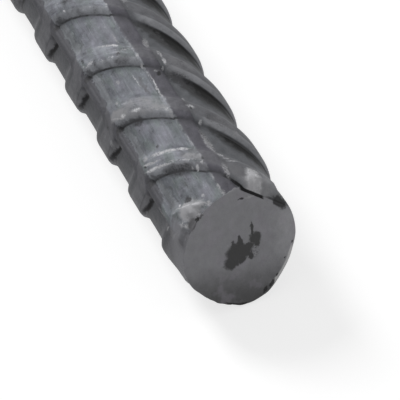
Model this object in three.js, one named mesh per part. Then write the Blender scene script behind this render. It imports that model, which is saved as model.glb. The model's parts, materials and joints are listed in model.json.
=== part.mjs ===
// One cut length of hot-rolled deformed reinforcing bar, lying on its side.
// Millimetres.  X runs along the bar, Z is up, and the bar rests on z = 0 with the
// origin under the middle of its length.  The bar is a single rolled piece: a round
// core, two longitudinal ribs where the roll halves met, and one flat grade line.
// The fine cross ribs are surface relief and aren't part of this solid.
import * as THREE from 'three';

// Driving dimensions
const LENGTH = 304.8;              // along the axis, between the two cut faces
const CORE_DIAMETER = 12.2;        // round body, under the ribs
const LONG_RIB_HEIGHT = 0.5;       // stands this far above the core
const LONG_RIB_CROWN = 0.6;        // flat width along the top of the rib
const LONG_RIB_FLANK = 0.35;       // width of each sloping side
const LONG_RIB_ANGLE = 157;        // degrees round from +Y towards +Z; its twin is opposite
const GRADE_LINE_HEIGHT = 0.2;     // low strip, off the middle of its half of the bar
const GRADE_LINE_CROWN = 1.5;
const GRADE_LINE_FLANK = 0.15;
const GRADE_LINE_ANGLE = 94;
const CUT_LEAN = 14.5;             // degrees that the cut faces lean back from square, upwards
const CUT_SWING = 6.3;             // degrees that they are turned to the side
const EDGE_BREAK = 0.25;           // worn edge round the cut face
const ROLLOVER = 0.95;             // edge rolled over where the shear blade went in
const ROLLOVER_ANGLE = 72;         // middle of the rolled-over stretch of that edge
const ROLLOVER_SPREAD = 46;        // degrees each side over which it fades out
const CORE_SIDES = 48;             // facets round the core, one of them flat on the floor
const EDGE_STEPS = 3;              // facets across the rounded edge

const RADIANS = Math.PI / 180;
const coreRadius = CORE_DIAMETER / 2;
const facetTurn = 360 / CORE_SIDES;
const axisHeight = coreRadius * Math.cos(facetTurn / 2 * RADIANS);

// Smallest turn between two directions, in degrees
function turnBetween(a, b) {
  const turn = Math.abs(a - b) % 360;
  return Math.min(turn, 360 - turn);
}

// Corners of a raised strip that runs the length of the bar: foot, crown, crown, foot
function stripCorners(angle, height, crown, flank) {
  const crownTurn = crown / 2 / (coreRadius + height) / RADIANS;
  const footTurn = crownTurn + flank / coreRadius / RADIANS;
  return [
    { angle: angle - footTurn, radius: coreRadius },
    { angle: angle - crownTurn, radius: coreRadius + height },
    { angle, radius: coreRadius + height },
    { angle: angle + crownTurn, radius: coreRadius + height },
    { angle: angle + footTurn, radius: coreRadius },
  ];
}

// Section of the bar as corners in polar form, counter-clockwise seen from +X
function sectionCorners() {
  const ribs = [LONG_RIB_ANGLE, LONG_RIB_ANGLE + 180].map(
    (angle) => stripCorners(angle, LONG_RIB_HEIGHT, LONG_RIB_CROWN, LONG_RIB_FLANK));
  const line = stripCorners(
    GRADE_LINE_ANGLE, GRADE_LINE_HEIGHT, GRADE_LINE_CROWN, GRADE_LINE_FLANK);
  const strips = [...ribs, line];
  const corners = strips.flat();
  for (let side = 0; side < CORE_SIDES; side += 1) {
    const angle = 270 + (side + 0.5) * facetTurn;
    const clear = strips.every((strip) => {
      const middle = strip[2].angle;
      const reach = turnBetween(strip[0].angle, middle) + facetTurn / 4;
      return turnBetween(angle, middle) > reach;
    });
    if (clear) corners.push({ angle, radius: coreRadius });
  }
  const turned = corners.map(({ angle, radius }) => ({ angle: (angle + 360) % 360, radius }));
  return turned.sort((a, b) => a.angle - b.angle);
}

// Radius of the rounding on the cut edge: rolled over on one side, only worn elsewhere
function edgeRounding(angle) {
  const turn = turnBetween(angle, ROLLOVER_ANGLE);
  if (turn >= ROLLOVER_SPREAD) return EDGE_BREAK;
  const fade = (1 + Math.cos(Math.PI * turn / ROLLOVER_SPREAD)) / 2;
  return EDGE_BREAK + (ROLLOVER - EDGE_BREAK) * fade;
}

// Place along X of a cut face that crosses the axis at `middle`
function onCutFace(middle, y, z) {
  const lean = Math.tan(CUT_LEAN * RADIANS) * (z - axisHeight);
  const swing = Math.tan(CUT_SWING * RADIANS) * y;
  return middle - lean - swing;
}

// One ring of section corners near an end; step 0 is full size, the last is the face edge
function ring(corners, end, step) {
  const bend = step / EDGE_STEPS * Math.PI / 2;
  return corners.map(({ angle, radius }) => {
    const rounding = edgeRounding(angle);
    const inset = radius - rounding * (1 - Math.cos(bend));
    const y = inset * Math.cos(angle * RADIANS);
    const z = axisHeight + inset * Math.sin(angle * RADIANS);
    const back = rounding * (1 - Math.sin(bend));
    return [onCutFace(end * LENGTH / 2, y, z) - end * back, y, z];
  });
}

// Closed bar: rings from the face at -X to the face at +X, with a fan over each face
function barGeometry() {
  const corners = sectionCorners();
  const steps = [...Array(EDGE_STEPS + 1).keys()];
  const rings = [
    ...steps.toReversed().map((step) => ring(corners, -1, step)),
    ...steps.map((step) => ring(corners, 1, step)),
  ];
  const count = corners.length;
  const positions = rings.flat(2);
  const triangles = [];
  for (let level = 0; level + 1 < rings.length; level += 1) {
    for (let i = 0; i < count; i += 1) {
      const here = level * count + i;
      const beside = level * count + (i + 1) % count;
      triangles.push(here, beside, beside + count);
      triangles.push(here, beside + count, here + count);
    }
  }
  const backCentre = rings.length * count;
  const frontCentre = backCentre + 1;
  positions.push(-LENGTH / 2, 0, axisHeight, LENGTH / 2, 0, axisHeight);
  for (let i = 0; i < count; i += 1) {
    const next = (i + 1) % count;
    const front = (rings.length - 1) * count;
    triangles.push(backCentre, next, i);
    triangles.push(frontCentre, front + i, front + next);
  }
  const geometry = new THREE.BufferGeometry();
  geometry.setAttribute('position', new THREE.Float32BufferAttribute(positions, 3));
  geometry.setIndex(triangles);
  geometry.computeVertexNormals();
  return geometry;
}

// Plain carbon steel with its dark skin of mill scale
const millScale = new THREE.MeshStandardMaterial({
  color: 0x63656a,
  roughness: 0.5,
  metalness: 0.6,
});

const bar = new THREE.Mesh(barGeometry(), millScale);
bar.name = 'reinforcing_bar';

const group = new THREE.Group();
group.add(bar);

export default group;
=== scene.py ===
# One foot of deformed reinforcing bar, lying on a pale studio floor.
# Lengths are in millimetres, unless they are marked as metres, and MM turns them into the
# frame's metres. Angles are in degrees.
import json
import math

import bmesh
import bpy
import numpy as np
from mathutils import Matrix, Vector, noise


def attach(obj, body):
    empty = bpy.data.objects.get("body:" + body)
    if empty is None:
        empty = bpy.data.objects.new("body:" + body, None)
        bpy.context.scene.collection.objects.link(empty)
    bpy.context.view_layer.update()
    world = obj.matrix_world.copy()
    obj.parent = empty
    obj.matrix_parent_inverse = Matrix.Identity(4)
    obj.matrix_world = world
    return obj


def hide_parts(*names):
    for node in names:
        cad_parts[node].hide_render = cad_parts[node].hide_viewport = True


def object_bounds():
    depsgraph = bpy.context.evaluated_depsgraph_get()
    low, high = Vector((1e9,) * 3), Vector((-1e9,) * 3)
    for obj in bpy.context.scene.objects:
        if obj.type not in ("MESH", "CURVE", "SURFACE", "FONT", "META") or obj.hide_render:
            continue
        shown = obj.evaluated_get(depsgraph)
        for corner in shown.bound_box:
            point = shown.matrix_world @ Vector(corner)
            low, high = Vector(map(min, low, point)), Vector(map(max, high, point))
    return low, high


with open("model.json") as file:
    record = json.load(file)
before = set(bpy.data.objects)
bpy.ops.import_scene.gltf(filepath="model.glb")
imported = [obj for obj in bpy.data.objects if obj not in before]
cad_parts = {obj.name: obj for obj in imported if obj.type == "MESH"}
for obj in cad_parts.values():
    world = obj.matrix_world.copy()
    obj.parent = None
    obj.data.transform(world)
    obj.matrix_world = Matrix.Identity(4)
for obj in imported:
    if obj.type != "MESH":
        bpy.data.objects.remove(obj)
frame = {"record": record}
cad_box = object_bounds()

# ---------------------------------------------------------------------------
# The bar itself: one piece of hot-rolled carbon steel with a dark skin of mill scale.
# The last pair of rolls leaves a long rib on each side where they meet, slanting
# cross ribs between those, and one low grade line. A shear has cut both ends.
# ---------------------------------------------------------------------------
MM = 0.001
mounts = {mount["name"]: mount for mount in frame["record"]["mounts"]}
end_middle = Vector(mounts["cut_end"]["pos_m"]) / MM
end_normal = Vector(mounts["cut_end"]["axis"])
axis_height = end_middle.z

CORE_RADIUS = 6.1
RIB_HEIGHT = 0.5
RIB_PITCH = 8.52
STARTS = 2               # a cross rib comes round to the one this many pitches on
FIRST_FOOT = -9.31       # foot of a cross rib at the first long rib, from the cut end
FIRST_LONG_RIB = 157     # from +Y towards +Z; turns count down from here
HALF_TURN = 180          # from the first long rib to the second
# Each half's cross ribs run along the bar as part of a sine of the turn past its long rib:
# where that starts, how far it sweeps, and the turn at which it is steepest
HALVES = ((0, 5.77, 67.8), (10.94, 4.0, 107))
LONG_RIB_CROWN = 0.6
LONG_RIB_FLANK = 0.35
GRADE_LINE = 94          # from +Y towards +Z
GRADE_LINE_CROWN = 1.5
GRADE_LINE_FLANK = 0.15
GRADE_LINE_HEIGHT = 0.2
LINE_UNDER_RIB = 0.5     # share of the grade line's height that a cross rib takes up
TURN_STEP = 2.7          # between the mesh's columns, at most
HAIR = 0.001             # a turn too small to matter
RIBS_AHEAD = 3           # the rib at FIRST_FOOT and two more, which the near cut trims
RIBS_SPARE = 1           # for the far cut to trim

# A cross rib's shape along the bar: distance back from its foot, and the share of its
# height there in the first half, which rises steeply from the foot, and in the second
RIB_PROFILE = (
    (7.6, 0, 0),
    (6.4, 0, 0),
    (5.5, 0, 0.02),
    (5.0, 0, 0.12),
    (4.6, 0, 0.5),
    (4.2, 0.05, 0.92),
    (3.8, 0.3, 1),
    (3.4, 0.75, 1),
    (3.0, 0.96, 1),
    (2.1, 1, 1),
    (1.2, 0.98, 1),
    (0.85, 0.87, 0.9),
    (0.5, 0.65, 0.45),
    (0.15, 0.25, 0.1),
    (0, 0, 0),
)
NEAR_LIP = 1.15          # where the rib's flat top starts and ends, back from its foot
FAR_LIP = 3.2
CREST_SHARE = 0.3        # the part of a rib above this share of its height has ragged edges

# Unevenness of the skin: how much, its feature sizes along and round the bar, and a seed
FOOT_WANDER = (0.12, 9, 3, 5.3)
CREST_WANDER = (0.07, 1.6, 1.1, 17.1)
HEIGHT_WANDER = (0.07, 4, 2.5, 31.7)
SKIN_WANDER = (0.02, 5, 2, 43.9)


def turn_between(a, b):
    """Smallest turn between two directions."""
    return np.abs((a - b + 180) % 360 - 180)


def smooth_step(value, low, high):
    """A smooth 0 to 1 as a value goes from low to high, either of which may be the larger."""
    share = np.clip((value - low) / (high - low), 0, 1)
    return share * share * (3 - 2 * share)


def strip_turns(crown, flank, height):
    """Turns from the middle of a lengthwise strip to the edge of its crown and to its foot."""
    crown_turn = math.degrees(crown / 2 / (CORE_RADIUS + height))
    return crown_turn, crown_turn + math.degrees(flank / CORE_RADIUS)


long_rib_turns = strip_turns(LONG_RIB_CROWN, LONG_RIB_FLANK, RIB_HEIGHT)
grade_line_turns = strip_turns(GRADE_LINE_CROWN, GRADE_LINE_FLANK, GRADE_LINE_HEIGHT)
grade_line_turn = FIRST_LONG_RIB - GRADE_LINE


def turn_columns():
    """Turns at which the mesh has a column of points, with one at every strip's edges."""
    fixed = []
    for middle, (crown, foot) in (
        (0, long_rib_turns),
        (grade_line_turn, grade_line_turns),
        (HALF_TURN, long_rib_turns),
        (2 * HALF_TURN, long_rib_turns),
    ):
        for turn in (-foot, -crown, 0, crown, foot):
            fixed.append(middle + turn)
    fixed = sorted(turn for turn in fixed if 0 <= turn <= 2 * HALF_TURN)
    columns = []
    for low, high in zip(fixed, fixed[1:]):
        count = max(1, math.ceil((high - low) / TURN_STEP))
        columns.extend(np.linspace(low, high, count, endpoint=False))
    return np.array(columns)


def strip_height(turn, middle, edges, height):
    """Height of a lengthwise strip over the core at each turn."""
    crown, foot = edges
    return height * np.clip((foot - turn_between(turn, middle)) / (foot - crown), 0, 1)


def rib_run(turn):
    """How far a cross rib has run along the bar at each turn past the first long rib."""
    second = (turn % (2 * HALF_TURN)) >= HALF_TURN
    start, sweep, steepest = (np.where(second, b, a) for a, b in zip(*HALVES))
    lag = np.radians(steepest)
    part = np.sin(np.radians(turn % HALF_TURN) - lag) + np.sin(lag)
    return STARTS * RIB_PITCH * np.floor(turn / (2 * HALF_TURN)) + start + sweep * part


def blended_run(turn):
    """rib_run, evened out under the long ribs, where two halves' cross ribs miss each other."""
    foot = long_rib_turns[1]
    nearest = HALF_TURN * np.round(turn / HALF_TURN)
    low = rib_run(nearest - foot - HAIR)
    high = rib_run(nearest + foot)
    share = (turn - nearest + foot) / (2 * foot)
    return np.where(np.abs(turn - nearest) < foot, low + (high - low) * share, rib_run(turn))


def wander(x, turn, amount, along, around, seed):
    """Smooth noise up to this amount each way over the skin, with these feature sizes."""
    beta = np.radians(FIRST_LONG_RIB - turn)
    spots = np.stack(
        [
            x / along + seed,
            CORE_RADIUS * np.cos(beta) / around,
            CORE_RADIUS * np.sin(beta) / around,
        ],
        -1,
    )
    flat = spots.reshape(-1, 3).tolist()
    return amount * np.array([noise.noise(spot) for spot in flat]).reshape(x.shape)


# What the shear did to the skin beside the cuts. A stretch round the bar is given by the
# degrees over which it fades in and those over which it fades out.
# It dragged the tops of the last ribs along: how far, and the stretch of each
DRAGS = (
    (1.5, (0, 30), (97, 76)),
    (2.2, (160, 172), (250, 225)),
)
DRAG_FADE = (3.6, 1.0)   # distances back from the last foot at which this starts and is full
# It pressed the ribs flat at both cuts; they are at full height at the second distance
FLAT_FADE = (0.15, 1.1)
# Behind the near cut it left this share of their height on the left and the lower right,
# which rises by two more shares, each between two distances
LEFT_PRESSED = ((158, 170), (262, 240))
LOW_RIGHT_MIDDLE = -15
LOW_RIGHT_FADE = (60, 50)
SIDE_SHARE = 0.2
SIDE_RISES = ((0.33, 0.6, 2.4), (0.47, 3.2, 5.8))
# On the upper right, even at the near cut, at least this share is left
RIGHT_KEPT = ((35, 50), (92, 80))
RIGHT_SHARE = 0.7
# It swelled the near end to one side, and bent its outline out of round: the middle of each
# bend, how far it goes outwards, and how far from its middle it has gone and is full
SWELLING = 0.04
SWELLING_MIDDLE = -34.38
SWELLING_REACH = 3
BENDS = (
    (233, -0.32, 34, 12),
    (284, 0.2, 24, 6),
    (329, -0.17, 28, 8),
)
BEND_REACH = 2.5


def within(value, rise, fall):
    """1 between two fades, each given as where it starts and where it ends."""
    return smooth_step(value, *rise) * smooth_step(value, *fall)


def dragged(x, turn, around):
    """Places along the bar after the shear dragged the top of the last ribs with it."""
    last_foot = FIRST_FOOT + blended_run(turn) - RIB_PITCH * (turn >= HALF_TURN)
    pull = sum(length * within(around, rise, fall) for length, rise, fall in DRAGS)
    return x + pull * smooth_step(last_foot - x, *DRAG_FADE)


def height_left(around, near_gap, far_gap):
    """Share of the ribs' height that the shear left, from the gaps to both cuts."""
    near_half = far_gap > near_gap
    pressed = smooth_step(np.minimum(near_gap, far_gap), *FLAT_FADE)
    side_share = SIDE_SHARE + sum(
        rise * smooth_step(near_gap, low, high) for rise, low, high in SIDE_RISES
    )
    low_right = smooth_step(turn_between(around, LOW_RIGHT_MIDDLE), *LOW_RIGHT_FADE)
    sides = (within(around, *LEFT_PRESSED) + low_right) * near_half
    pressed = pressed + sides * (side_share - pressed)
    right = within(around, *RIGHT_KEPT) * near_half
    return pressed + right * (RIGHT_SHARE - pressed).clip(0)


def pushed_out(around, near_gap):
    """How far the shear pushed the outline outwards beside the near cut."""
    swelling = SWELLING * smooth_step(near_gap, SWELLING_REACH, 0)
    swelling = swelling * (1 + np.cos(np.radians(around - SWELLING_MIDDLE)))
    bent = sum(
        outwards * smooth_step(turn_between(around, middle), gone, full)
        for middle, outwards, gone, full in BENDS
    )
    return swelling + bent * smooth_step(near_gap, BEND_REACH, 0)


def skin_grid():
    """Grid of points on the rolled skin, whose rows follow the cross ribs past both ends."""
    turns = turn_columns()
    backs, *shares = (np.array(column, float) for column in zip(*RIB_PROFILE))
    rib_count = math.ceil((cad_box[1].x - cad_box[0].x) / MM / RIB_PITCH)
    rib_count = rib_count + STARTS + RIBS_AHEAD + RIBS_SPARE
    ribs = np.arange(RIBS_AHEAD - rib_count, RIBS_AHEAD)
    back = np.tile(backs, rib_count)[:, None]
    first_share, second_share = (np.tile(share, rib_count)[:, None] for share in shares)
    rib_foot = np.repeat(FIRST_FOOT + ribs * RIB_PITCH, len(backs))[:, None]
    turn = np.broadcast_to(turns[None, :], (len(back), len(turns)))
    beta = FIRST_LONG_RIB - turn
    around = beta % 360
    share = np.where(turn >= HALF_TURN, second_share, first_share)

    # Places along the bar
    foot_x = rib_foot + blended_run(turn)
    x = foot_x - back + wander(foot_x, turn, *FOOT_WANDER)
    x = x + wander(x, turn, *CREST_WANDER) * (share > CREST_SHARE)
    x = dragged(x, turn, around)

    # Heights over the core
    long_ribs = strip_height(turn, 0, long_rib_turns, RIB_HEIGHT)
    long_ribs = long_ribs + strip_height(turn, HALF_TURN, long_rib_turns, RIB_HEIGHT)
    line = strip_height(turn, grade_line_turn, grade_line_turns, GRADE_LINE_HEIGHT)
    cross_rib = share * RIB_HEIGHT * (1 + wander(x, turn, *HEIGHT_WANDER))
    raised = np.maximum(cross_rib, long_ribs) + line * (1 - LINE_UNDER_RIB * share)
    raised = raised + wander(x, turn, *SKIN_WANDER)

    # What the shear left of them, and so the points
    angle = np.radians(beta)
    y = CORE_RADIUS * np.cos(angle)
    z = CORE_RADIUS * np.sin(angle)
    cut_x = (end_normal.y * y + end_normal.z * z) / -end_normal.x
    near_gap = cut_x - x
    far_gap = x + 2 * end_middle.x - cut_x
    radius = CORE_RADIUS + raised * height_left(around, near_gap, far_gap)
    radius = radius + pushed_out(around, near_gap)
    points = np.stack(
        [end_middle.x + x, radius * np.cos(angle), axis_height + radius * np.sin(angle)], -1
    )
    phase = np.broadcast_to(2 * np.pi * back / RIB_PITCH, x.shape)
    return points, {"rib_sine": np.sin(phase), "rib_cosine": np.cos(phase)}


def grid_faces(rows, columns):
    """Faces of the skin grid; its last column joins the first, a turn's ribs further on."""
    index = np.arange(rows * columns).reshape(rows, columns)
    strips = [index[:-1, :-1], index[:-1, 1:], index[1:, 1:], index[1:, :-1]]
    faces = np.stack(strips, -1).reshape(-1, 4)
    row = np.arange(rows - 1 - STARTS * len(RIB_PROFILE))
    ahead = row + STARTS * len(RIB_PROFILE)
    first = index[:, 0]
    last = index[:, -1]
    seam = np.stack([last[row], first[ahead], first[ahead + 1], last[row + 1]], -1)
    return np.concatenate([faces, seam])


points, phases = skin_grid()
faces = grid_faces(*points.shape[:2])
mesh = bpy.data.meshes.new("reinforcing_bar_skin")
mesh.from_pydata((points.reshape(-1, 3) * MM).tolist(), [], faces.tolist())
# The material reads from these how far behind a rib's foot a point lies
for name, values in phases.items():
    layer = mesh.attributes.new(name, "FLOAT", "POINT")
    layer.data.foreach_set("value", values.ravel().astype(np.float32))

# The cuts: extra loops behind each for its rounded edge, and rings of faces over it. The
# edge is rolled over on one side, where the blade went in, and only worn elsewhere.
EDGE_LOOPS = (0, 0.015, 0.04, 0.1, 0.2, 0.35, 0.55, 0.8, 1.05)
EDGE_REACH = 1.4         # points closer to a cut than this may lie on its rounded edge
EDGE_BREAK = 0.04
ROLLOVER = 1.0
ROLLOVER_ANGLE = 60
ROLLOVER_SPREAD = 44
FACE_RINGS = (0.985, 0.96, 0.92, 0.86, 0.78, 0.68, 0.56, 0.42, 0.28, 0.14)


def edge_rounding(beta):
    """Radius of the rounding on the cut edge."""
    off = np.minimum(turn_between(beta, ROLLOVER_ANGLE) / ROLLOVER_SPREAD, 1)
    return EDGE_BREAK + (ROLLOVER - EDGE_BREAK) * (1 + np.cos(np.pi * off)) / 2


def rounded(place, normal, middle):
    """A skin point near a cut, moved in on the rounding of its edge."""
    flat = place - middle
    gap = -flat.dot(normal) / abs(normal.x)
    rounding = float(edge_rounding(math.degrees(math.atan2(flat.z, flat.y))))
    if gap >= rounding:
        return place
    bend = 1 - max(gap, 0) / rounding
    inset = rounding * (1 - math.sqrt(1 - bend * bend))
    scale = 1 - inset / math.hypot(flat.y, flat.z)
    moved = Vector((place.x, middle.y + flat.y * scale, middle.z + flat.z * scale))
    # Stay as far behind the cut as before
    moved.x += (moved - place).dot(normal) / -normal.x
    return moved


def fill_cut(work, rim, middle):
    """Rings of faces that shrink from the rim of a cut to a point in its middle."""
    outer = rim
    for scale in FACE_RINGS:
        inner = [work.verts.new(middle + (vert.co - middle) * scale) for vert in rim]
        for i in range(len(rim)):
            j = (i + 1) % len(rim)
            work.faces.new((outer[i], outer[j], inner[j], inner[i]))
        outer = inner
    hub = work.verts.new(middle)
    for i in range(len(rim)):
        work.faces.new((outer[i], outer[(i + 1) % len(rim)], hub))


# Trim the skin at both cuts, then round each edge and fill the cut
work = bmesh.new()
work.from_mesh(mesh)
cuts = [
    (Vector(mounts[name]["pos_m"]), Vector(mounts[name]["axis"]))
    for name in ("cut_end", "far_cut_end")
]
for middle, normal in cuts:
    for behind in EDGE_LOOPS:
        bmesh.ops.bisect_plane(
            work,
            geom=work.verts[:] + work.edges[:] + work.faces[:],
            plane_co=middle - Vector((math.copysign(behind * MM, normal.x), 0, 0)),
            plane_no=normal,
            clear_outer=behind == 0,
        )
for middle, normal in cuts:
    near = [v for v in work.verts if (v.co - middle).dot(normal) > -EDGE_REACH * MM]
    for vert in near:
        vert.co = rounded(vert.co / MM, normal, middle / MM) * MM
    rim = [v for v in near if v.is_boundary]
    rim.sort(key=lambda v: math.atan2(v.co.z - middle.z, v.co.y))
    if normal.x < 0:
        rim.reverse()
    fill_cut(work, rim, middle)
bmesh.ops.recalc_face_normals(work, faces=work.faces[:])
work.to_mesh(mesh)
work.free()
mesh.shade_smooth()
bar = bpy.data.objects.new("reinforcing_bar_skin", mesh)
bpy.context.scene.collection.objects.link(bar)


class Wire:
    """An output socket of a material's nodes; sums and products of wires add Math nodes."""

    # The sockets of a Mix node that carry colours
    UNDER = 6
    OVER = 7
    MIXED = 2

    def __init__(self, tree, socket=None):
        self.tree = tree
        self.socket = socket

    def add(self, kind, settings=(), sockets=(), output=0):
        """Add a node: its settings first, then its sockets' values or wires."""
        node = self.tree.nodes.new(kind)
        for name, value in dict(settings).items():
            setattr(node, name, value)
        for key, value in dict(sockets).items():
            if isinstance(value, Wire):
                self.tree.links.new(value.socket, node.inputs[key])
            else:
                node.inputs[key].default_value = value
        return Wire(self.tree, node.outputs[output] if node.outputs else None)

    def clear(self):
        """Empty the tree of its default nodes."""
        self.tree.nodes.clear()

    def output(self, name):
        """Another output of the node that this wire comes from."""
        return Wire(self.tree, self.socket.node.outputs[name])

    def math(self, operation, *values):
        """A Math node; the operators below are its shorter forms."""
        return self.add("ShaderNodeMath", {"operation": operation}, enumerate(values))

    def __add__(self, other):
        return self.math("ADD", self, other)

    def __radd__(self, other):
        return self.math("ADD", other, self)

    def __sub__(self, other):
        return self.math("SUBTRACT", self, other)

    def __rsub__(self, other):
        return self.math("SUBTRACT", other, self)

    def __mul__(self, other):
        return self.math("MULTIPLY", self, other)

    def __rmul__(self, other):
        return self.math("MULTIPLY", other, self)

    def step(self, low, high):
        """A smooth 0 to 1 as this wire goes from low to high, or 1 to 0 where low is larger."""
        if low > high:
            return 1 - self.step(high, low)
        return self.add(
            "ShaderNodeMapRange",
            {"interpolation_type": "SMOOTHSTEP"},
            {"Value": self, "From Min": low, "From Max": high},
        )

    def within(self, rise, fall):
        """1 between two fades, each given as where it starts and where it ends."""
        return self.step(*rise) * self.step(*fall)

    def band(self, low, high, soft):
        """1 between low and high, with a fade this wide at each of them."""
        half = soft / 2
        return self.within((low - half, low + half), (high + half, high - half))

    def scaled(self, x, y, z):
        """This vector with each part multiplied by its own number."""
        return self.add(
            "ShaderNodeVectorMath", {"operation": "MULTIPLY"}, {0: self, 1: (x, y, z)}
        )

    def vector(self, operation, *vectors, output=0, **sockets):
        """Vector arithmetic; SCALE takes its factor as the socket Scale."""
        inputs = dict(enumerate(vectors)) | sockets
        return self.add("ShaderNodeVectorMath", {"operation": operation}, inputs, output)

    def joined(self, first, second, third):
        """A vector of three numbers or wires."""
        return self.add("ShaderNodeCombineXYZ", {}, {0: first, 1: second, 2: third})

    def spot(self, middle, size, lean, soft=0.25):
        """1 inside an ellipse with this middle, half sizes and lean, for a flat place.

        Its edge fades between 1 - soft and 1 + soft times that size.
        """
        outer = 1 + soft
        place = {
            "Vector": self,
            "Location": (*middle, 0),
            "Rotation": (0, 0, math.radians(lean)),
            "Scale": (size[0] * outer, size[1] * outer, 1),
        }
        place = self.add("ShaderNodeMapping", {"vector_type": "TEXTURE"}, place)
        inside = place.add(
            "ShaderNodeTexGradient", {"gradient_type": "SPHERICAL"}, {"Vector": place}, "Fac"
        )
        # It falls from 1 in the middle to 0 at the outer edge of the fade
        return inside.step(0, 2 * soft / outer)

    def noise(self, scale, detail, roughness=0.5):
        """Smooth noise round 0.5 over this place, finer for a larger scale."""
        sockets = {"Vector": self, "Scale": scale, "Detail": detail, "Roughness": roughness}
        return self.add("ShaderNodeTexNoise", {}, sockets, "Fac")

    def tint(self, factor, *colours):
        """A colour, or this one, with another mixed over it where the factor is 1."""
        under, over = colours if len(colours) == 2 else (self, *colours)
        sockets = {"Factor": factor, self.UNDER: under, self.OVER: over}
        return self.add("ShaderNodeMix", {"data_type": "RGBA"}, sockets, self.MIXED)


def grey(level, red=0.0, blue=0.0):
    """A near-grey colour from its screen level of 0 to 255, with a lean to red or blue."""
    channels = []
    for value in (level + red, level, level + blue):
        share = value / 255
        channels.append(share / 12.92 if share <= 0.04045 else ((share + 0.055) / 1.055) ** 2.4)
    return (*channels, 1)


steel = bpy.data.materials.new("mill_scale_steel")
steel.use_nodes = True
start = Wire(steel.node_tree)
start.clear()

# Where a point of the surface lies: along the bar from the middle of the near cut, and
# round it as an angle and as a length. The angle jumps under the bar, opposite FACING.
FACING = 113
facing_y = math.cos(math.radians(FACING))
facing_up = math.sin(math.radians(FACING))
place = start.add("ShaderNodeTexCoord", (), (), "Object").scaled(1 / MM, 1 / MM, 1 / MM)
parts = place.add("ShaderNodeSeparateXYZ", (), {0: place})
x = parts - end_middle.x
y = parts.output("Y")
up = parts.output("Z") - axis_height
sideways = up * facing_y - y * facing_up
beta = start.math("ARCTAN2", sideways, y * facing_y + up * facing_up) * math.degrees(1) + FACING
arc = beta * math.radians(CORE_RADIUS)
section = start.joined(y, up, 0)
radius = section.vector("LENGTH", section, output="Value")

# How far it lies behind the foot of the nearest cross rib, and behind the nearer cut, and
# how squarely it faces along the bar
sine = start.add("ShaderNodeAttribute", {"attribute_name": "rib_sine"}, (), "Fac")
cosine = start.add("ShaderNodeAttribute", {"attribute_name": "rib_cosine"}, (), "Fac")
back = start.math("ARCTAN2", sine, cosine) * (RIB_PITCH / 2 / math.pi)
from_end = start.joined(x, y, up)
near_gap = from_end.vector("DOT_PRODUCT", from_end, tuple(end_normal), output="Value") * -1
bar_gap = 2 * end_middle.x * end_normal.x    # from one cut to the other
gap = near_gap.math("MINIMUM", near_gap, bar_gap - near_gap)
outward = start.add("ShaderNodeTexCoord", (), (), "Normal")
forward = outward.vector("DOT_PRODUCT", outward, tuple(end_normal), output="Value")

# Noise that the marks below are made from, fine and coarse, even and drawn out
mottle = place.noise(1.1, 5, 0.62) - 0.5
patches = place.scaled(0.6, 1, 1).noise(0.55, 3, 0.5) - 0.5
hues = place.scaled(0.3, 1, 1).noise(0.9, 3, 0.55) - 0.5
grain = place.noise(6, 3, 0.6) - 0.5
streaks = place.scaled(0.2, 1, 1).noise(1.3, 5, 0.7) - 0.5
scratches = place.scaled(0.05, 1, 1).noise(5, 3, 0.6) - 0.5
rib_lines = start.joined(back * 2.4, x * 0.35, arc * 0.45).noise(1, 5, 0.65) - 0.5

# Flat places for marks on the skin and on the cut, shaken a little or a lot, so that the
# marks get ragged edges
wobble = {"Vector": place, "Scale": 1.7, "Detail": 5, "Roughness": 0.65}
wobble = place.add("ShaderNodeTexNoise", {}, wobble, "Color")
wobble = wobble.vector("SUBTRACT", wobble, (0.5, 0.5, 0.5))
shaken = wobble.vector("SCALE", wobble, Scale=0.9)
slightly_shaken = wobble.vector("SCALE", wobble, Scale=0.4)
on_skin = start.joined(x, arc, 0)
scar_place = slightly_shaken.vector("ADD", slightly_shaken, on_skin)
patch_place = shaken.vector("ADD", shaken, on_skin)
face_place = shaken.vector("ADD", shaken, section)

# Zones round the bar: the paler front, the grade line, the dull right-hand side, the first
# long rib and the skin left of it
shifted = beta + mottle * 7
worn_end = x.step(-7, -4.5) * 8
front = shifted.step(99, 101) * (shifted - worn_end + grain * 6).step(151.5, 149.5)
line = shifted.band(87, 100, 1.6)
off_bottom = beta.step(-40, -10)
right = beta.step(88, 86) * off_bottom
long_rib = beta.within((150, 152), (166, 160))
left = beta.within((160, 168), (250, 225))

# Zones along it: a cross rib's foot, near flank, lip and flat top, and the valley between
# ribs. The last three tell the skin close to the near cut, or to both, from the rest.
foot = back.band(-0.09, 0.12, 0.15)
flank = back.band(0.05, NEAR_LIP, 0.25)
lip = back.band(NEAR_LIP - 0.2, NEAR_LIP + 0.3, 0.35)
plateau = (back + mottle * 0.9).band(NEAR_LIP, FAR_LIP + 0.1, 0.5)
valley = (1 - plateau) * (1 - flank)
last_rib = x.step(-13, -11)
off_cut = gap.step(2, 3.2)
near_end = x.step(-12, -8)

# The skin's plain colours, zone by zone: dark scale, paler on the front
skin = start.tint(long_rib, grey(69, -1, 4), grey(71, 0, 5))
skin = skin.tint(front, grey(110, -4, 6))
skin = skin.tint(front * patches.step(-0.05, 0.1), grey(112, -2, 7))
skin = skin.tint(right, grey(99, -2, 4))
skin = skin.tint(line, grey(83, 1, 7))
skin = skin.tint(front * plateau, grey(122, -3, 6))
skin = skin.tint((1 - front) * plateau * 0.55, grey(104, 0, 4))
skin = skin.tint(front * hues.step(0.0, 0.12) * 0.6, grey(110, -8, -1))
skin = skin.tint(front * hues.step(-0.02, -0.14) * 0.3, grey(116, 2, 12))
skin = skin.tint(front * flank, grey(130, -2, 5))
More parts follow.
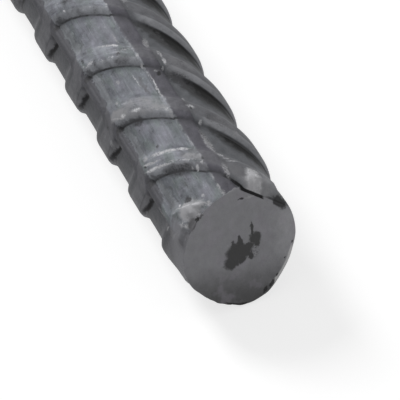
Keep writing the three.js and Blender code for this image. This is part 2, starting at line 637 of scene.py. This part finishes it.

# On the front, painted shade in a strip before each foot, and a duller top on the last rib;
# on the right, painted light on the flanks and on the end; on the left, painted light on a
# flank and a dark far side
strip = (back + mottle * 2 - beta.step(125, 150) * 0.45).band(-0.7, 0.15, 0.3)
strip = strip * beta.band(124, 149, 4) * back.step(-0.1, 0.05)
skin = skin.tint(strip * 0.65, grey(72, -1, 3))
worn_top = front * (1 - valley) * beta.step(112, 103) * x.step(-14, -12.5)
skin = skin.tint(worn_top * 0.6, grey(106, 1, 5))
right_flank = back.band(0.2, 1.2, 0.3) * beta.step(84, 74) * off_bottom
skin = skin.tint(right_flank, grey(142, -1, 4))
right_end = (x + mottle * 2).step(-5.2, -3.6) * beta.step(60, 50) * off_bottom
skin = skin.tint(right_end, grey(142, -1, 3))
skin = skin.tint(left * back.band(0.15, 0.95, 0.3), grey(112, 0, 4))
skin = skin.tint(left * back.band(4.1, 5.0, 0.3), grey(66, 0, 4))

# Beside the long rib, a pale strip in the valleys with a dark slot along its edge
skin = skin.tint(shifted.band(143, 150, 2) * valley * 0.7, grey(122, -3, 3))
slot = (shifted + mottle * 14).band(140.5, 143, 1.8)
skin = skin.tint(slot * (0.5 + mottle * 3) * valley, grey(82, -3, 2))

# Unevenness of all these, streaked along the bar on the front
tone = 1 + mottle * 1.1 + grain * 0.35 + patches * (0.3 + front * 0.6)
tone = tone - x.step(-9, -7) * front * 0.07
tone = tone + streaks * (0.25 + front * 1.05) + rib_lines * plateau * (0.5 + front * 0.9)
skin = skin.vector("SCALE", skin, Scale=tone)

# Fine wear of the front: scratches, flecks on the lips, specks, lines on the tops and pits
skin = skin.tint(scratches.step(0.1, 0.16) * front * valley * 0.22, grey(150, 0, 5))
skin = skin.tint(scratches.step(-0.1, -0.16) * front * valley * 0.26, grey(66, 0, 3))
flecks = (mottle + grain * 0.8 + patches * 0.6).step(0.12, 0.2)
skin = skin.tint(flecks * lip * front * 0.85, grey(190, 0, 3))
specks = (grain + mottle * 0.5).step(0.17, 0.25)
skin = skin.tint(specks * front * 0.5, grey(165, 0, 3))
top_lines = (rib_lines + mottle * 0.3).step(0.12, 0.19) * plateau * (0.2 + front * 0.8)
skin = skin.tint(top_lines * 0.5, grey(172, 0, 4))
pits = (mottle + grain * 0.5).step(-0.16, -0.23) * front
skin = skin.tint(pits * 0.65, grey(52, 0, 5))
blotches = (mottle + patches).step(0.02, 0.16) * beta.band(153, 164, 4) * gap.step(1.5, 3)
skin = skin.tint(blotches * 0.45, grey(58, 0, 3))

# Burnished edges of the grade line: a fine one on the left, a broken one on the right
fine_edge = shifted.band(100.3, 102.2, 1.2) * (0.1 + mottle * 3.5 + grain) * (1 - flank)
skin = skin.tint(fine_edge, grey(152, 0, 3))
wavy = beta + mottle * 16 + patches * 18
broken_edge = wavy.band(84.2, 87.2, 1.6) * (patches + mottle * 0.8).step(-0.05, 0.08)
broken_edge = broken_edge * (0.5 + grain) * (1 - flank) * x.step(-27, -31)
skin = skin.tint(broken_edge, grey(170, 0, 3))

# Painted shade along the feet of the ribs, softer on the grade line and the long rib
upper_right = beta.band(73, 97, 8)
softer = upper_right * 0.7 + beta.band(154, 161, 2) * 0.8
skin = skin.tint(foot * (0.7 + mottle * 2.5) * (1 - softer), grey(44, 0, 2))
soft_foot = (back + mottle * 1.5).band(-0.75, 0.35, 0.7) * upper_right
skin = skin.tint(soft_foot * 0.5, grey(66, 0, 4))
rib_foot = back.band(-0.3, 0.35, 0.25) * shifted.band(149.5, 155, 2)
skin = skin.tint(rib_foot * 0.75, grey(42, 0, 2))

# Painted shadow in the lee of the right-hand ribs: a dark wedge, and a black one in it.
# Away from the near end the black painted shadow comes and goes.
ragged = beta + mottle * 30
lee_shade = back + mottle * 2.5 - last_rib - ragged.step(66, 88) * 2.2
lee_shade = lee_shade.step(-4.0, -2.4) * back.step(0.3, -0.1) * (ragged + last_rib * 5).step(88, 76)
lee_shade = lee_shade * beta.step(12, 40) * off_cut
skin = skin.tint(lee_shade * 0.85, grey(44, 0, 1))
fading = x.step(-34, -40) * place.scaled(0.1, 0.15, 0.15).noise(1.3, 1).step(0.62, 0.42)
lasting = 1 - fading * 0.75
lee_shadow = back - ragged.step(60, 78) * 2.2 + mottle * 1.8 - last_rib * 0.5
lee_shadow = lee_shadow.step(-3.2, -1.2) * (back + last_rib * 0.35).step(0.25, -0.05)
lee_shadow = lee_shadow * (ragged + mottle * 30).step(80, 62) * beta.step(22, 46) * off_cut * lasting
skin = skin.tint(lee_shadow * 0.95, grey(14))

# Painted shade in the left outline's notches and at the last rib's foot where it meets the cut
notch = (back + mottle * 0.9 - beta.step(166, 194) * 0.5).band(-0.22, 0.3, 0.3)
notch = notch * (beta + mottle * 20).step(159, 167) * beta.step(206, 180)
notch = notch * gap.step(1.2, 2.2) * lasting
skin = skin.tint(notch * 0.9, grey(32))
last_foot = back.band(-0.3, 0.3, 0.16) * beta.step(98, 88) * x.step(-4.4, -3.2) * gap.step(0, 0.2)
skin = skin.tint(last_foot * 0.92, grey(16))
# All this painted shade, and the crack added below, also makes the skin duller and rougher
painted_shade_and_crack = start.math("MAXIMUM", start.math("MAXIMUM", lee_shadow, notch), last_foot)

# Patches and scars that handling has left on the near end, with a painted highlight and
# some spots of painted shade among them, each by its middle along the bar and in degrees
# round it, half sizes, lean, screen level and strength
PATCHES = (
    ((-2.15, 134), (1.3, 1.05), 0, 150, 1.25),
    ((-2.0, 126), (0.6, 0.75), -30, 158, 0.75),
    ((-17.5, 170), (0.3, 0.4), -60, 140, 0.7),
    ((-3.6, 131), (0.42, 0.34), -20, 50, 0.85),
    ((-7.4, 123), (1.6, 0.6), -52, 66, 0.75),
    ((-16.35, 133.5), (0.8, 0.45), -50, 62, 0.8),
    ((-17.45, 124), (2.5, 0.95), -52, 136, 0.6),
    ((-18.75, 144), (1.05, 0.55), -55, 142, 1.0),
    ((-15.6, 106), (0.8, 0.3), -45, 140, 0.5),
    ((-7.8, 108), (1.0, 0.4), -42, 138, 0.6),
    ((-24.2, 113), (0.5, 0.9), 30, 72, 0.6),
    ((-20.0, 109.5), (1.7, 0.22), 0, 82, 0.6),
    ((-3.9, 79), (1.2, 1.1), -20, 112, 0.6),
    # A painted highlight on the last rib's top on the right, beside the cut
    ((-2.2, 66.5), (1.75, 0.85), 8, 245, 0.8),
    ((-20.9, 70), (1.3, 1.5), -50, 124, 0.4),
)
SCARS = (
    ((-2.5, 129.5), (1.6, 0.1), -55, 182, 0.9),
    ((-10.0, 121.5), (2.0, 0.11), -56, 155, 0.7),
    ((-10.6, 130), (0.7, 0.2), -54, 185, 0.7),
    ((-10.1, 121), (0.6, 0.18), -57, 180, 0.7),
    ((-9.3, 110.5), (0.55, 0.2), -47, 195, 0.75),
    ((-9.4, 137.5), (1.5, 0.13), -56, 178, 0.9),
    ((-9.8, 143.5), (0.6, 0.18), -56, 200, 0.9),
    ((-10.65, 143.5), (0.7, 0.12), -50, 180, 0.85),
    ((-10.2, 137), (0.9, 0.08), -56, 165, 0.7),
    ((-11.5, 143.5), (0.3, 0.25), -50, 165, 0.7),
    ((-7.9, 115), (1.4, 0.07), -50, 165, 0.6),
    ((-8.9, 86.6), (2.0, 0.3), 0, 158, 0.8),
    ((-7.7, 87), (0.5, 0.1), 0, 190, 0.7),
    ((-6.6, 84), (0.4, 0.2), -20, 190, 0.8),
    ((-4.3, 87.2), (0.95, 0.22), 3, 160, 0.75),
    ((-5.4, 77), (0.12, 0.55), 8, 165, 0.7),
    ((-5.9, 81), (0.13, 0.3), 30, 160, 0.7),
    ((-6.2, 107.7), (0.3, 0.13), 15, 185, 0.95),
    ((-6.5, 111.5), (0.16, 0.08), 0, 160, 0.8),
    ((-1.75, 71), (1.1, 0.22), 11, 215, 0.85),
    ((-3.3, 68.5), (0.8, 0.18), 14, 210, 0.8),
    ((-3.5, 64), (0.3, 0.5), -30, 195, 0.7),
    ((-2.3, 64), (0.5, 0.12), 50, 215, 0.7),
    ((-1.2, 67), (0.5, 0.12), 50, 210, 0.7),
    ((-3.75, 140.5), (0.2, 0.13), 0, 190, 0.9),
    ((-1.05, 145), (0.2, 0.22), 0, 200, 0.8),
    ((-1.7, 120), (0.4, 0.22), -50, 158, 0.6),
    ((-2.8, 116.5), (0.2, 0.14), 0, 160, 0.8),
    ((-1.5, 116), (0.25, 0.28), 0, 160, 0.8),
    ((-3.4, 164), (0.45, 0.1), -60, 140, 0.8),
    ((-1.85, 161), (0.7, 0.1), -65, 160, 0.9),
    ((-5.3, 159), (0.9, 0.2), -10, 115, 0.6),
    ((-18.05, 140), (0.32, 0.19), -45, 195, 0.75),
    ((-17.25, 126.7), (0.45, 0.2), -50, 200, 0.75),
    ((-18.4, 146), (0.9, 0.08), -40, 165, 0.7),
    ((-19.9, 138.5), (0.25, 0.14), 0, 160, 0.8),
    ((-22.4, 129), (0.3, 0.14), 0, 145, 0.7),
    ((-14.35, 83.5), (0.4, 0.24), -45, 190, 0.7),
    ((-16.0, 84), (0.35, 0.12), 0, 150, 0.8),
    ((-12.1, 82.3), (0.22, 0.16), 20, 165, 0.8),
    ((-10.1, 54.5), (0.5, 0.28), 30, 150, 0.6),
    ((-23.0, 81.5), (0.6, 0.15), 0, 175, 0.85),
    ((-21.8, 81.5), (0.4, 0.16), 0, 190, 0.9),
    ((-21.0, 86), (0.25, 0.1), 30, 170, 0.8),
    ((-20.95, 92.5), (0.14, 0.2), 0, 140, 0.8),
    ((-6.35, 102.3), (0.2, 0.12), -15, 165, 0.8),
    ((-1.75, 99.6), (0.4, 0.2), 10, 150, 0.7),
    ((-2.8, 100.4), (0.4, 0.12), 0, 150, 0.6),
    ((-22.3, 101.9), (0.25, 0.12), 15, 165, 0.8),
    ((-14.4, 101.9), (0.45, 0.13), 0, 155, 0.8),
    ((-25.2, 86.5), (0.9, 0.26), 12, 160, 0.95),
    ((-21.0, 113), (0.85, 0.06), 0, 165, 0.8),
    ((-18.6, 100.4), (1.9, 0.08), 3, 170, 0.8),
    ((-26.9, 118), (1.1, 0.14), -50, 165, 0.8),
    ((-26.4, 113), (0.35, 0.14), -45, 190, 0.9),
    ((-25.2, 109), (0.15, 0.6), 15, 145, 0.5),
    ((-27.5, 108.8), (0.9, 0.1), 0, 140, 0.5),
    ((-11.9, 129), (0.22, 0.16), 0, 52, 0.9),
    ((-5.3, 125), (0.5, 0.13), 0, 78, 0.6),
    ((-6.75, 100), (0.2, 0.12), 0, 50, 0.9),
    ((-10.8, 148), (0.18, 0.1), -40, 56, 0.8),
    ((-3.0, 167), (0.7, 0.16), -50, 62, 0.6),
    ((-20.45, 91.6), (0.3, 0.2), 20, 12, 1.6),
    ((-19.2, 76.5), (1.6, 0.7), -50, 56, 0.7),
    ((-14.1, 84), (0.2, 0.13), 0, 44, 0.8),
    ((-16.5, 157), (0.8, 0.25), -5, 56, 0.7),
    ((-21.6, 160), (0.45, 0.2), -20, 60, 0.7),
    ((-19.2, 161), (0.3, 0.18), 0, 54, 0.7),
    ((-25.3, 158), (0.45, 0.13), -20, 54, 0.7),
    ((-27.8, 146), (0.35, 0.18), 0, 64, 0.6),
    # Painted shade where the feet of three ribs meet the long rib
    ((-17.55, 151.5), (0.35, 0.3), -45, 26, 0.9),
    ((-25.95, 151), (0.35, 0.2), -45, 36, 0.8),
    ((-9.25, 152.5), (0.4, 0.2), -60, 40, 0.8),
    ((-26.3, 136.5), (0.3, 0.14), 30, 68, 0.6),
    ((-25.1, 114), (0.22, 0.25), 0, 72, 0.6),
    ((-12.4, 70), (0.65, 0.65), -40, 60, 0.6),
    ((-11.6, 62), (1.4, 0.8), -50, 112, 0.5),
)
blotchy = grain * 1.5 + mottle * 2.2
gritty = grain * 4.5 + mottle * 2
for flat, marks, soft, roughly in (
    (patch_place, PATCHES, 0.35, blotchy),
    (scar_place, SCARS, 0.5, gritty),
):
    for (along, angle), size, lean, level, share in marks:
        mark = flat.spot((along, angle * math.radians(CORE_RADIUS)), size, lean, soft)
        skin = skin.tint(mark * (share + roughly), grey(level, 0, 3))

# The bare face of the cut, paler to the right, and darker by painted shade towards its lower edge
low = (up + y * 0.22 + mottle * 1.1).step(-0.8, -5.9)
face = start.tint(low, grey(157, 0, 4), grey(98, 0, 1))
pale_side = (y + mottle * 2).step(3.2, 5.6) * up.within((-4.5, -2), (3, 1.2))
face = face.tint(pale_side * 0.8, grey(180, 0, 4))
face = face.tint(patches.step(-0.02, 0.12) * 0.35, grey(160, 4, 9))
face = face.vector("SCALE", face, Scale=1 + mottle * 0.35 + grain * 0.2 + streaks * 0.1)
# Painted highlight along the lower right rim
rim = (radius + mottle * 0.3).step(5.72, 5.88)
rim_highlight = rim * (beta + mottle * 10).step(-62, -52) * beta.step(-14, -22)
face = face.tint(rim_highlight * 0.85, grey(225))
burr_shadow = (radius - (beta - 250) * 0.0175 + mottle * 0.3).step(5.7, 5.8)
face = face.tint(burr_shadow * beta.band(248, 273, 9) * 0.9, grey(30))
glint = face_place.spot((1.9, 4.85), (0.9, 0.08), -6, 0.5)
face = face.tint(glint * 0.5, grey(190))

# Ellipses on the face, each by its middle, half sizes and lean: those of a dark stain near
# the middle, of nicks round its edge, and of chips out of its upper left edge
STAIN = (
    ((-0.45, -0.5), (1.15, 1.0), 10),
    ((-1.0, -1.35), (0.85, 0.75), 0),
    ((0.45, -0.6), (0.8, 0.75), 0),
    ((1.05, -0.25), (0.5, 0.35), 0),
    ((1.75, 0.4), (0.7, 0.6), 0),
    ((1.9, -0.1), (0.42, 0.5), 0),
    ((-0.55, 0.15), (0.5, 0.6), 20),
    ((0.05, 0.2), (0.42, 0.6), 0),
    ((-0.72, 0.5), (0.15, 0.38), 0),
    ((0.08, 0.75), (0.16, 0.48), 0),
    ((1.56, 1.3), (0.15, 0.85), 0),
    ((1.1, -1.25), (0.28, 0.55), 20),
    ((0.1, -1.45), (0.6, 0.4), 30),
)
NICKS = (
    ((4.75, 3.15), (1.0, 0.5), -53),
    ((0.65, 5.0), (0.3, 0.08), -10),
    ((5.7, -1.5), (0.13, 0.13), 0),
    ((4.8, -2.9), (0.16, 0.12), 60),
    ((3.7, -4.3), (0.16, 0.14), 40),
    ((3.1, -5.1), (0.4, 0.17), 35),
    ((2.3, -5.5), (0.35, 0.2), 30),
)
CHIPS = (
    ((-4.1, 4.55), (0.55, 0.15), 42),
    ((-4.65, 4.05), (0.6, 0.28), 52),
)


def covered(flat, marks):
    """1 where any of these ellipses covers a flat place."""
    cover = flat.spot(*marks[0])
    for mark in marks[1:]:
        cover = cover.math("MAXIMUM", cover, flat.spot(*mark))
    return cover


bare_specks = (grain + mottle * 0.4).step(0.12, 0.2) * y.step(0.8, 1.4) * up.step(0.2, -0.3)
stain = covered(face_place, STAIN) * (1 - bare_specks) * near_end
face = face.tint(stain * 0.93, grey(64))
stain_specks = face_place.spot((1.45, -0.95), (0.55, 0.8), 0, 0.5)
stain_specks = stain_specks * (grain + mottle * 0.5).step(0.0, 0.06) * near_end
face = face.tint(stain_specks * 0.6, grey(70))

# The cut edge: a lap of skin over the face at the upper right, with a black crack under it.
# Both follow a straight line across the face, square to LAP_FACING.
LAP_FACING = (0.607, 0.794)
chord = y * LAP_FACING[0] + up * LAP_FACING[1] + mottle * 0.12
lap = chord.step(5.3, 5.38) * y.step(-0.5, 0.3) * near_end
cut = forward.math("ABSOLUTE", forward).step(0.38, 0.6) * gap.step(0.5, 0.2) * (1 - lap)
# Painted light on the skin beside the cut on the left
left_edge = (gap + mottle * 2).step(3.4, 1.4) * beta.within((145, 151), (230, 215))
skin = skin.tint(left_edge * 0.85, grey(118, 0, 4))
right_edge = gap.step(1.4, 0.8) * (beta + mottle * 12).band(50, 78, 8)
skin = skin.tint(right_edge * 0.6, grey(165, 0, 3))
colour = skin.tint(cut, face)
crack = chord.band(5.13, 5.44, 0.08) * y.band(0.75, 3.1, 0.3) * gap.step(0.6, 0.3) * near_end
colour = colour.tint(crack * 0.95, grey(14))
nicks = covered(face_place, NICKS) * gap.step(1.0, 0.7) * near_end
colour = colour.tint(nicks * 0.9, grey(36))
chipped = gap.step(0.9, 0.5) * near_end
colour = colour.tint(covered(face_place, CHIPS) * chipped * 0.8, grey(95, 1, 2))
chip_pit = face_place.spot((-4.15, 4.5), (0.2, 0.14), 40)
colour = colour.tint(chip_pit * chipped, grey(40))
# The painted shade, with the crack added to it
painted_shade_and_crack = painted_shade_and_crack.math("MAXIMUM", painted_shade_and_crack, crack)

relief = start.add(
    "ShaderNodeBump",
    {},
    {"Strength": 0.35, "Distance": 0.3 * MM, "Height": mottle * 0.5 + streaks * 0.6 + grain * 0.2},
)
shader = start.add(
    "ShaderNodeBsdfPrincipled",
    {},
    {
        "Base Color": colour,
        "Metallic": 0.2 * (1 - painted_shade_and_crack),
        "Roughness": 0.6 + painted_shade_and_crack * 0.35,
        "Specular IOR Level": 0.3,
        "Normal": relief,
    },
)
start.add("ShaderNodeOutputMaterial", {}, {"Surface": shader})
mesh.materials.append(steel)
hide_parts("reinforcing_bar")
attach(bar, "root")

# ---------------------------------------------------------------------------
# The studio floor and backdrop: plain pale paper under the ribs, which keeps the bar's
# soft shadow. Seen by the camera, or in a mirror or glass, both are close to white.
# ---------------------------------------------------------------------------
FLOOR_HALF = 3           # metres; half the side of the sheet
PAPER = grey(180)
PAPER_ROUGHNESS = 0.9
PAPER_SPECULAR = 0.1
PAPER_GLOW = 0.72
BACKDROP_LIGHT = 0.3


def shown(tree_start):
    """1 for rays from the camera and for those that a mirror or glass sends on."""
    path = tree_start.add("ShaderNodeLightPath")
    seen = path.math("MAXIMUM", path, path.output("Is Glossy Ray"))
    return path.math("MAXIMUM", seen, path.output("Is Transmission Ray"))


floor_mesh = bpy.data.meshes.new("floor")
corners = [(-1, -1), (1, -1), (1, 1), (-1, 1)]
floor_mesh.from_pydata(
    [(FLOOR_HALF * a, FLOOR_HALF * b, -RIB_HEIGHT * MM) for a, b in corners], [], [(0, 1, 2, 3)]
)
floor = bpy.data.objects.new("floor", floor_mesh)
bpy.context.scene.collection.objects.link(floor)

paper = bpy.data.materials.new("floor")
paper.use_nodes = True
ground = Wire(paper.node_tree)
ground.clear()
finish = {
    "Base Color": PAPER,
    "Roughness": PAPER_ROUGHNESS,
    "Specular IOR Level": PAPER_SPECULAR,
}
glow = {"Emission Color": (1, 1, 1, 1), "Emission Strength": PAPER_GLOW}
plain = ground.add("ShaderNodeBsdfPrincipled", {}, finish)
glowing = ground.add("ShaderNodeBsdfPrincipled", {}, finish | glow)
floor_look = ground.add("ShaderNodeMixShader", {}, {0: shown(ground), 1: plain, 2: glowing})
ground.add("ShaderNodeOutputMaterial", {}, {"Surface": floor_look})
floor_mesh.materials.append(paper)

world = bpy.data.worlds.new("studio")
bpy.context.scene.world = world
world.use_nodes = True
sky = Wire(world.node_tree)
sky.clear()
soft = sky.add("ShaderNodeBackground", {}, {"Color": (1, 1, 1, 1), "Strength": BACKDROP_LIGHT})
white = sky.add("ShaderNodeBackground", {}, {"Color": (1, 1, 1, 1), "Strength": 1})
sky_look = sky.add("ShaderNodeMixShader", {}, {0: shown(sky), 1: soft, 2: white})
sky.add("ShaderNodeOutputWorld", {}, {"Surface": sky_look})

# ---------------------------------------------------------------------------
# The lamp: one square soft box, high up beyond the bar's far end, on the camera's left. It
# faces the middle of the bar. A direction is given as an azimuth, which is 0 towards -Y and
# 90 towards +X, and an elevation.
# ---------------------------------------------------------------------------
LAMP_AZIMUTH = 293.2
LAMP_ELEVATION = 40.5
LAMP_DISTANCE = 1.5      # metres
LAMP_SIZE = 0.5          # metres
LAMP_WATTS = 16


def direction(azimuth, elevation):
    """Unit vector that points from the bar in a direction."""
    a = math.radians(azimuth)
    e = math.radians(elevation)
    return Vector((math.sin(a) * math.cos(e), -math.cos(a) * math.cos(e), math.sin(e)))


lamp_data = bpy.data.lights.new("key", "AREA")
lamp_data.shape = "SQUARE"
lamp_data.size = LAMP_SIZE
lamp_data.energy = LAMP_WATTS
lamp = bpy.data.objects.new("key", lamp_data)
to_lamp = direction(LAMP_AZIMUTH, LAMP_ELEVATION)
lamp.location = to_lamp * LAMP_DISTANCE
lamp.rotation_euler = to_lamp.to_track_quat("Z", "Y").to_euler()
bpy.context.scene.collection.objects.link(lamp)

# ---------------------------------------------------------------------------
# The camera: a long lens that looks down on the near cut from one side. The middle of the
# cut falls on END_PIXEL of a square frame.
# ---------------------------------------------------------------------------
CAMERA_AZIMUTH = 67.36
CAMERA_ELEVATION = 42.12
CAMERA_DISTANCE = 0.6466    # metres from the middle of the near cut
LENS = 590.8
SENSOR = 36
FRAME_PIXELS = 400
END_PIXEL = (239.7, 246.9)
NEAREST = 0.01              # metres
FARTHEST = 20

camera_data = bpy.data.cameras.new("camera")
camera_data.lens = LENS
camera_data.sensor_width = SENSOR
camera_data.clip_start = NEAREST
camera_data.clip_end = FARTHEST
camera = bpy.data.objects.new("camera", camera_data)
bpy.context.scene.collection.objects.link(camera)
to_camera = direction(CAMERA_AZIMUTH, CAMERA_ELEVATION)
facing = (-to_camera).to_track_quat("-Z", "Y")
pixel = CAMERA_DISTANCE * SENSOR / LENS / FRAME_PIXELS
middle_pixel = FRAME_PIXELS / 2
camera.location = (
    end_middle * MM
    + to_camera * CAMERA_DISTANCE
    - facing @ Vector((1, 0, 0)) * (END_PIXEL[0] - middle_pixel) * pixel
    + facing @ Vector((0, 1, 0)) * (END_PIXEL[1] - middle_pixel) * pixel
)
camera.rotation_mode = "QUATERNION"
camera.rotation_quaternion = facing
bpy.context.scene.camera = camera
bpy.context.scene.view_settings.view_transform = "Standard"
